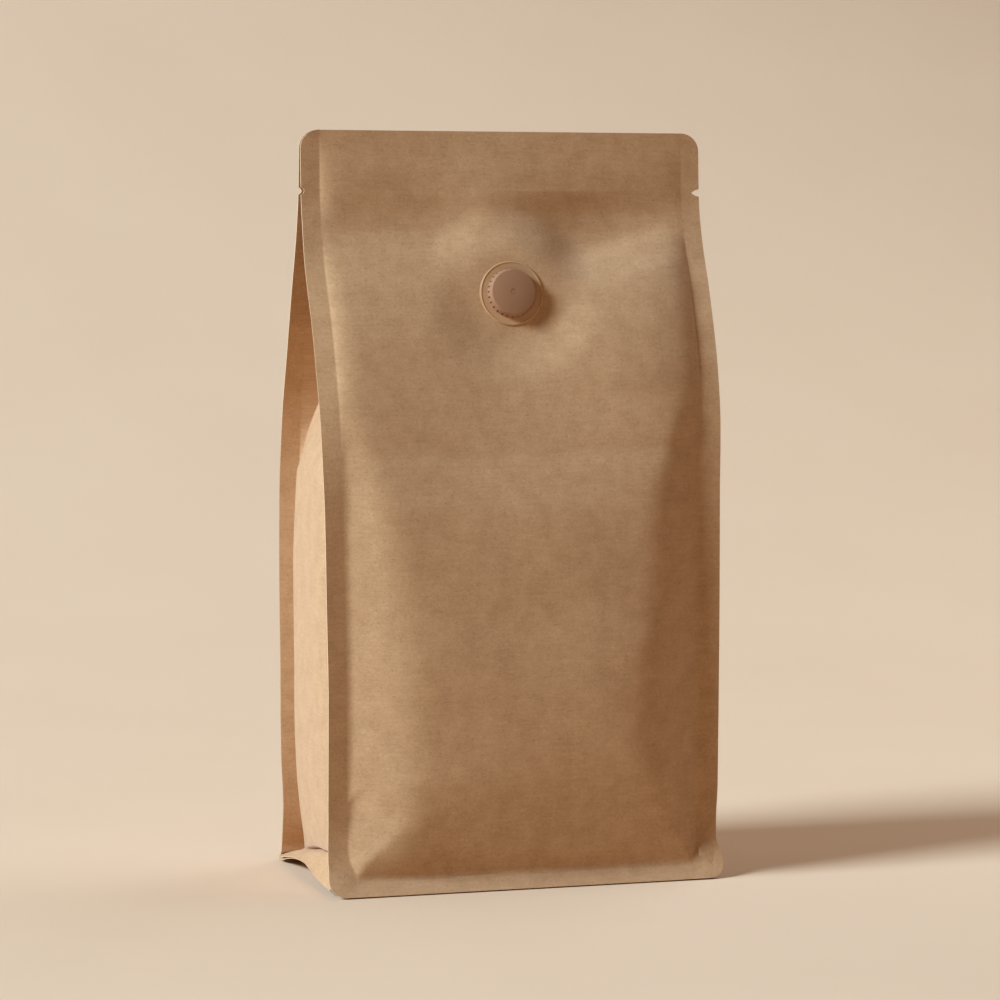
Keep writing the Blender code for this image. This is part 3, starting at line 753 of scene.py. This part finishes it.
for side_name, side in (("left", -1.0), ("right", 1.0)):
    gusset = lay_web(f"{side_name}_gusset", gusset_web(gusset_columns(), web_rows(), side), kraft)
    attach(gusset, "root")
    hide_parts("pouch")

# ----------------------------------------------------------------------------------------------------------
# Bottom web: the base that makes the pouch stand, in the same laminate. It lies flat under the beans and
# turns down again as the lower half of the skirt, sealed to the panels and the gussets above it.
# ----------------------------------------------------------------------------------------------------------

BASE_REST = 0.3  # height of the underside where the base rests
BASE_FOLD = SIDE_FOLD - 0.4  # distance of its side folds from the middle, inside the gussets'
BASE_REACH = SIDE_REACH - 0.1
BASE_INSET = 0.6  # how far its corners end inside the panels' skirts
BASE_SIDE_RISE = 9.0  # distance over which it rises to its side folds
BASE_END_RISE = 8.0  # and to the folds at the front and the back
BASE_HALF_WIDTH = 62.0  # half of its flat web
BASE_HALF_DEPTH = 35.0
BASE_PAPER = 800.0  # its place on the flat web, past the gussets'
LEAST_LIP = 0.14  # height over the table that its lip keeps

UNDER_PANEL = 0.32  # how far it lies below the panels' skirts
UNDER_SIDE_FOLD = 0.6
UNDER_SIDE_LIP = 0.42
BEHIND_SKIRT = 0.42  # how far it lies behind the panels' skirts
CORNER_TUCK = 0.66  # how much farther at the corners, where the gussets' margins lie between
CORNER_START = 50.0
CORNER_BAND = 6.0
LEFT_CURL = 0.45  # how much lower the left lip hangs beside the back corner


def base_web(columns, rows):
    """Points of the bottom web and its place on the flat web: 0 is the middle, 1 a fold and 2 a lip."""
    points = []
    side_out = np.clip(np.abs(columns) - 1.0, 0.0, 1.0)
    sides = np.sign(columns)
    left = columns < 0.0
    fold_out = np.minimum(np.abs(columns), 1.0) * BASE_FOLD + side_out * BASE_REACH
    for row in rows:
        end_out = np.full(len(columns), min(max(abs(row) - 1.0, 0.0), 1.0))
        facing = -1.0 if row < 0.0 else 1.0
        back = np.full(len(columns), float(np.clip(row, -1.0, 1.0)))
        edge_lift = corner_lift(sides * edge_width(FOLD_HEIGHT), facing)
        x = np.minimum(fold_out, skirt_line(end_out, edge_lift)[2] - BASE_INSET)
        end_y, end_z, _ = skirt_line(end_out, corner_lift(sides * x, facing))
        end_y = end_y - BEHIND_SKIRT - CORNER_TUCK * ease((x - CORNER_START) / CORNER_BAND)
        end_z = end_z - UNDER_PANEL
        y = np.sign(row) * end_y if abs(row) >= 1.0 else back * end_y
        side_fold = np.where(left, side_fold_height(back, True), side_fold_height(back, False))
        side_fold = side_fold - UNDER_SIDE_FOLD
        side_lip = np.where(left, side_lip_height(back, True), side_lip_height(back, False))
        side_lip = side_lip - UNDER_SIDE_LIP - np.where(left, LEFT_CURL * bell(back, 0.88, 0.10, 0.08), 0.0)
        side_z = side_fold * (1.0 - side_out) + side_lip * side_out
        along_side = np.where(side_out > 0.0, 1.0 - ease(end_out * 2.0), 0.0)
        side_rise = (side_fold - BASE_REST) * (1.0 - ease((BASE_FOLD - x) / BASE_SIDE_RISE))
        end_rise = (end_z - BASE_REST) * (1.0 - ease((end_y - np.abs(y)) / BASE_END_RISE))
        skirt_z = np.maximum(end_z * (1.0 - along_side) + side_z * along_side, LEAST_LIP)
        in_skirt = np.maximum(side_out, end_out) > 0.0
        z = np.where(in_skirt, skirt_z, BASE_REST + np.maximum(side_rise, end_rise))
        across = columns * BASE_HALF_WIDTH + BASE_PAPER
        along = np.full(len(x), row * BASE_HALF_DEPTH)
        points.append(np.stack([sides * x, y, z, across, along], 1))
    return np.array(points)


def base_steps(count):
    """Positions across the bottom web, crowded near its folds."""
    middle = np.linspace(0.0, 0.80, count)
    near_fold = np.linspace(0.83, 1.0, 9)
    skirt = np.linspace(1.14, 2.0, 7)
    half = np.concatenate([middle, near_fold, skirt])
    return np.concatenate([-half[:0:-1], half])


base = lay_web("bottom_web", base_web(base_steps(16), base_steps(9))[:, ::-1], kraft)
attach(base, "root")
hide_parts("pouch")

# ----------------------------------------------------------------------------------------------------------
# Valve disc: the round film of the one-way valve, moulded in brown plastic and welded flat on the front
# panel. It has a thin raised bead just inside its edge.
# ----------------------------------------------------------------------------------------------------------

DISC_THICKNESS = 0.30
DISC_EDGE = DISC_THICKNESS - 0.08  # where the rim starts to round off
DISC_BEAD = DISC_THICKNESS + 0.13
DISC_CENTRE = DISC_THICKNESS - 0.02
VALVE_LIFT = 0.05  # gap left between the disc and the paper
VALVE_SIDES = 96
VALVE_SMOOTH_ANGLE = 35.0
DISC_COLOUR = (0.60, 0.375, 0.220)


def turned_piece(name, outline):
    """A turned piece about Z, raised ring by ring through (radius, height) steps and closed at both ends."""
    bpy.ops.object.select_all(action="DESELECT")
    radius, height = outline[0]
    start = (0.0, 0.0, height * MM)
    bpy.ops.mesh.primitive_circle_add(
        vertices=VALVE_SIDES, radius=radius * MM, fill_type="NGON", location=start
    )
    piece = bpy.context.object
    piece.name = piece.data.name = name
    bpy.ops.object.transform_apply(location=True, rotation=True, scale=True)
    bpy.ops.object.mode_set(mode="EDIT")
    bpy.ops.mesh.select_all(action="SELECT")
    for next_radius, next_height in outline[1:]:
        up = (0.0, 0.0, (next_height - height) * MM)
        bpy.ops.mesh.extrude_region_move(TRANSFORM_OT_translate={"value": up})
        change = next_radius / radius
        bpy.ops.transform.resize(value=(change, change, 1.0))
        radius, height = next_radius, next_height
    bpy.ops.mesh.select_all(action="SELECT")
    bpy.ops.mesh.normals_make_consistent(inside=False)
    bpy.ops.object.mode_set(mode="OBJECT")
    return piece


def stand_on_panel(piece):
    """Turns a piece made along +Z to stand on the front panel, and applies the move to its mesh."""
    seat, outward = valve_seat()
    place = Matrix.Translation((seat + outward * VALVE_LIFT) * MM)
    piece.matrix_world = place @ outward.to_track_quat("Z", "Y").to_matrix().to_4x4()
    bpy.ops.object.select_all(action="DESELECT")
    piece.select_set(True)
    bpy.context.view_layer.objects.active = piece
    bpy.ops.object.transform_apply(location=True, rotation=True, scale=True)
    bpy.ops.object.shade_smooth_by_angle(angle=math.radians(VALVE_SMOOTH_ANGLE))


def moulded_plastic(name, colour, roughness):
    """Plain brown moulded plastic with a faint satin unevenness."""
    dark = [0.93 * part for part in colour]
    pale = [1.07 * part for part in colour]
    material, shader, noise = clouded(name, 1400.0, 3.0, dark, pale)
    shader.inputs["Specular IOR Level"].default_value = 0.35
    tree = material.node_tree
    dull = add_node(tree, "ShaderNodeMapRange", {"To Min": roughness - 0.05, "To Max": roughness + 0.05})
    tree.links.new(noise, dull.inputs["Value"])
    tree.links.new(dull.outputs["Result"], shader.inputs["Roughness"])
    return material


disc = turned_piece(
    "valve_disc",
    (
        (10.48, 0.0), (10.48, DISC_EDGE), (10.42, DISC_THICKNESS), (10.26, DISC_THICKNESS),
        (10.12, DISC_BEAD), (9.96, DISC_BEAD), (9.80, DISC_THICKNESS), (9.0, DISC_CENTRE),
    ),
)
disc.data.materials.append(moulded_plastic("valve_disc_film", DISC_COLOUR, 0.50))
stand_on_panel(disc)
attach(disc, "root")
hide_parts("valve_flange")

# ----------------------------------------------------------------------------------------------------------
# Valve cap: the moulded button that covers the vent, in darker plastic. Its flat top, with one small ring
# dimple, overhangs a recess all round. Upright ribs stand on its foot and bridge the recess, with narrow
# vents between them.
# ----------------------------------------------------------------------------------------------------------

CAP_FOOT = DISC_CENTRE
CAP_TOP = 3.30
CAP_RADIUS = 7.2
CAP_COLOUR = (0.40, 0.225, 0.140)
RIB_COUNT = 28
RIB_PHASE = 0.35  # turn of the first rib, in steps from one to the next
RIB_TOP = 1.55
RIB_HALF_WIDTH = 0.60
RIB_ROOT = 6.2  # distance of its inner end from the middle
RIB_FOOT_REACH = 7.95
RIB_HEAD_REACH = 7.60
RIB_START = 0.08  # how far above the cap's foot it starts
RIB_OVERLAP = 0.12  # how far it runs into the cap's overhang

cap = turned_piece(
    "valve_cap",
    (
        (8.05, CAP_FOOT), (8.0, CAP_FOOT + 0.12), (7.40, CAP_FOOT + 0.18), (7.28, RIB_TOP - 0.25),
        (7.66, RIB_TOP), (CAP_RADIUS, CAP_TOP - 0.24), (CAP_RADIUS - 0.08, CAP_TOP - 0.07),
        (CAP_RADIUS - 0.26, CAP_TOP), (1.02, CAP_TOP), (0.94, CAP_TOP - 0.12), (0.78, CAP_TOP - 0.12),
        (0.70, CAP_TOP - 0.02),
    ),
)
for step in range(RIB_COUNT):
    turn = 2.0 * math.pi * (step + RIB_PHASE) / RIB_COUNT
    bpy.ops.object.select_all(action="DESELECT")
    bpy.ops.mesh.primitive_cube_add(size=2.0)
    rib = bpy.context.object
    rib.name = "valve_rib"
    for point in rib.data.vertices:
        outer_reach = RIB_FOOT_REACH if point.co.z < 0.0 else RIB_HEAD_REACH
        reach = RIB_ROOT if point.co.x < 0.0 else outer_reach
        level = CAP_FOOT + RIB_START if point.co.z < 0.0 else RIB_TOP + RIB_OVERLAP
        place = Vector((reach, RIB_HALF_WIDTH * point.co.y, level))
        point.co = Matrix.Rotation(turn, 3, "Z") @ place * MM
    join = cap.modifiers.new("rib", "BOOLEAN")
    join.operation = "UNION"
    join.solver = "EXACT"
    join.object = rib
    bpy.context.view_layer.objects.active = cap
    bpy.ops.object.modifier_apply(modifier=join.name)
    bpy.data.objects.remove(rib)
cap.data.materials.append(moulded_plastic("valve_cap_plastic", CAP_COLOUR, 0.45))
stand_on_panel(cap)
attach(cap, "root")
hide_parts("valve_cap")

# ----------------------------------------------------------------------------------------------------------
# Floor and backdrop: one sheet of plain pale paper, laid under the pouch and swept up behind it in a wide
# curve, so that no line shows where the floor ends.
# ----------------------------------------------------------------------------------------------------------

SWEEP_START = 0.30  # in metres, as the sweep's other sizes and the lamps' places are
SWEEP_RADIUS = 1.2
SWEEP_LENGTH = 4.6
SWEEP_IN_FRONT = 2.2
SWEEP_HALF_WIDTH = 2.2
BACKDROP_DARK = (0.77, 0.585, 0.440)
BACKDROP_PALE = (0.81, 0.625, 0.475)


def backdrop_paper():
    """Matt paper of a warm pale tone, a little uneven."""
    material, shader, _ = clouded("backdrop_paper", 9.0, 3.0, BACKDROP_DARK, BACKDROP_PALE)
    shader.inputs["Roughness"].default_value = 0.85
    shader.inputs["Specular IOR Level"].default_value = 0.2
    return material


bpy.ops.object.select_all(action="DESELECT")
bpy.ops.mesh.primitive_grid_add(x_subdivisions=8, y_subdivisions=120, size=2.0)
sweep = bpy.context.object
sweep.name = sweep.data.name = "sweep"
for point in sweep.data.vertices:
    along = (point.co.y + 1.0) / 2.0 * SWEEP_LENGTH - SWEEP_IN_FRONT
    bend = min(max((along - SWEEP_START) / SWEEP_RADIUS, 0.0), math.pi / 2)
    straight = max(along - SWEEP_START - SWEEP_RADIUS * math.pi / 2, 0.0)
    y = min(along, SWEEP_START) + SWEEP_RADIUS * math.sin(bend)
    z = SWEEP_RADIUS * (1.0 - math.cos(bend)) + straight
    point.co = (point.co.x * SWEEP_HALF_WIDTH, y, z)
sweep.data.materials.append(backdrop_paper())
bpy.ops.object.shade_smooth()

# ----------------------------------------------------------------------------------------------------------
# Light and camera: one large soft lamp high on the left, a weak fill from the back right, a faint warm room
# and a long lens a little below the level of the pouch's top.
# ----------------------------------------------------------------------------------------------------------

KEY_AZIMUTH = math.radians(79.4)  # round from the front towards the left
KEY_ELEVATION = math.radians(32.5)
KEY_DISTANCE = 4.5
KEY_AIM = Vector((0.0, 0.0, 0.12))
KEY_SIZE = 1.4
KEY_POWER = 219.0
KEY_COLOUR = (0.80, 1.0, 1.13)
FILL_PLACE = Vector((0.80, 0.22, 1.05))
FILL_AIM = Vector((0.12, -0.22, 0.0))
FILL_SIZE = 1.1
FILL_POWER = 4.8
FILL_COLOUR = (0.90, 1.0, 1.05)
ROOM_COLOUR = (1.0, 0.48, 0.10)
ROOM_STRENGTH = 0.13
CAMERA_PLACE = Vector((-366.9, -1133.3, 228.7)) * MM
CAMERA_YAW = math.radians(17.94)
CAMERA_PITCH = math.radians(5.14)
CAMERA_ROLL = math.radians(0.41)
LENS = 132.1
SENSOR = 36.0


def soft_lamp(name, size, power, colour, place, backwards):
    """A round lamp at a place, which shines the opposite way from the direction given."""
    data = bpy.data.lights.new(name, "AREA")
    data.shape = "DISK"
    data.size = size
    data.energy = power
    data.color = colour
    lamp = bpy.data.objects.new(name, data)
    bpy.context.collection.objects.link(lamp)
    lamp.location = place
    lamp.rotation_euler = backwards.to_track_quat("Z", "Y").to_euler()


towards_key = Vector((
    -math.sin(KEY_AZIMUTH) * math.cos(KEY_ELEVATION),
    -math.cos(KEY_AZIMUTH) * math.cos(KEY_ELEVATION),
    math.sin(KEY_ELEVATION),
))
key_place = towards_key * KEY_DISTANCE + KEY_AIM
soft_lamp("key", KEY_SIZE, KEY_POWER, KEY_COLOUR, key_place, towards_key)
soft_lamp("fill", FILL_SIZE, FILL_POWER, FILL_COLOUR, FILL_PLACE, FILL_PLACE - FILL_AIM)

world = bpy.data.worlds.new("room")
bpy.context.scene.world = world
world.use_nodes = True
room = world.node_tree.nodes["Background"]
room.inputs["Color"].default_value = (*ROOM_COLOUR, 1.0)
room.inputs["Strength"].default_value = ROOM_STRENGTH

ahead = Vector((
    math.sin(CAMERA_YAW) * math.cos(CAMERA_PITCH),
    math.cos(CAMERA_YAW) * math.cos(CAMERA_PITCH),
    -math.sin(CAMERA_PITCH),
))
level = Vector((math.cos(CAMERA_YAW), -math.sin(CAMERA_YAW), 0.0))
upright = level.cross(ahead)
right = level * math.cos(CAMERA_ROLL) + upright * math.sin(CAMERA_ROLL)
up = upright * math.cos(CAMERA_ROLL) - level * math.sin(CAMERA_ROLL)
lens_data = bpy.data.cameras.new("camera")
lens_data.sensor_width = SENSOR
lens_data.lens = LENS
camera = bpy.data.objects.new("camera", lens_data)
bpy.context.collection.objects.link(camera)
camera.matrix_world = Matrix.Translation(CAMERA_PLACE) @ Matrix((right, up, -ahead)).transposed().to_4x4()
bpy.context.scene.camera = camera
bpy.context.scene.view_settings.view_transform = "Standard"
bpy.context.scene.view_settings.look = "Medium High Contrast"
